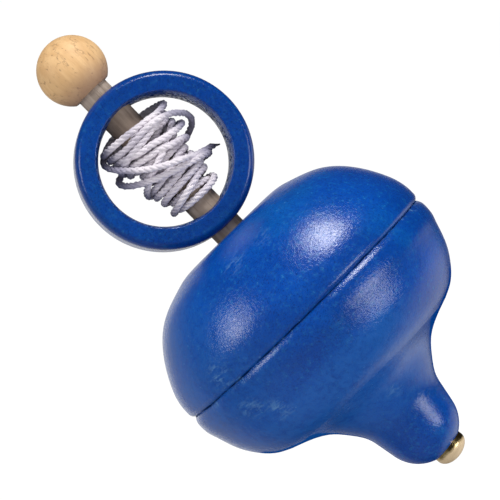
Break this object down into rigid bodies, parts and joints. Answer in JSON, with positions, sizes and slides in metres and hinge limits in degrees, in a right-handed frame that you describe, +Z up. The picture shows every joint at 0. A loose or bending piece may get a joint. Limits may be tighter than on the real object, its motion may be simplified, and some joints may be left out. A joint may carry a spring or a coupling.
{
  "type": "spinning top",
  "caption": "Turned wooden spinning top with a ring handle that turns freely on its spindle, a ball knob, a dome-head brass tip and a pull cord wound on the spindle.",
  "frame": {"origin": "lowest point of the brass tip's height, on the spindle's axis", "axes": "+Z up the spindle towards the ball knob; the ring handle's own axis is Y, and its front face looks towards -Y"},
  "size_m": [0.0888, 0.0888, 0.164],
  "materials": {
    "blue_lacquer": "half-gloss blue lacquer on turned wood, slightly orange-peeled and scuffed",
    "dowel_wood": "bare handled dowel",
    "beech": "clear satin over beech",
    "brass": "polished, lightly worn",
    "cord": "matt twisted cord"
  },
  "bodies": {
    "handle": {"ring_handle": "blue_lacquer"},
    "top": {"body_upper": "blue_lacquer", "body_lower": "blue_lacquer", "spindle": "dowel_wood", "ball_knob": "beech", "tip_nail": "brass", "cord_winding": "cord", "cord_tail": "cord"}
  },
  "joints": [
    {"name": "top_spin", "type": "hinge", "parent": "handle", "child": "top", "pos_m": [0, 0, 0.1176], "axis": [0, 0, 1], "continuous": true}
  ]
}
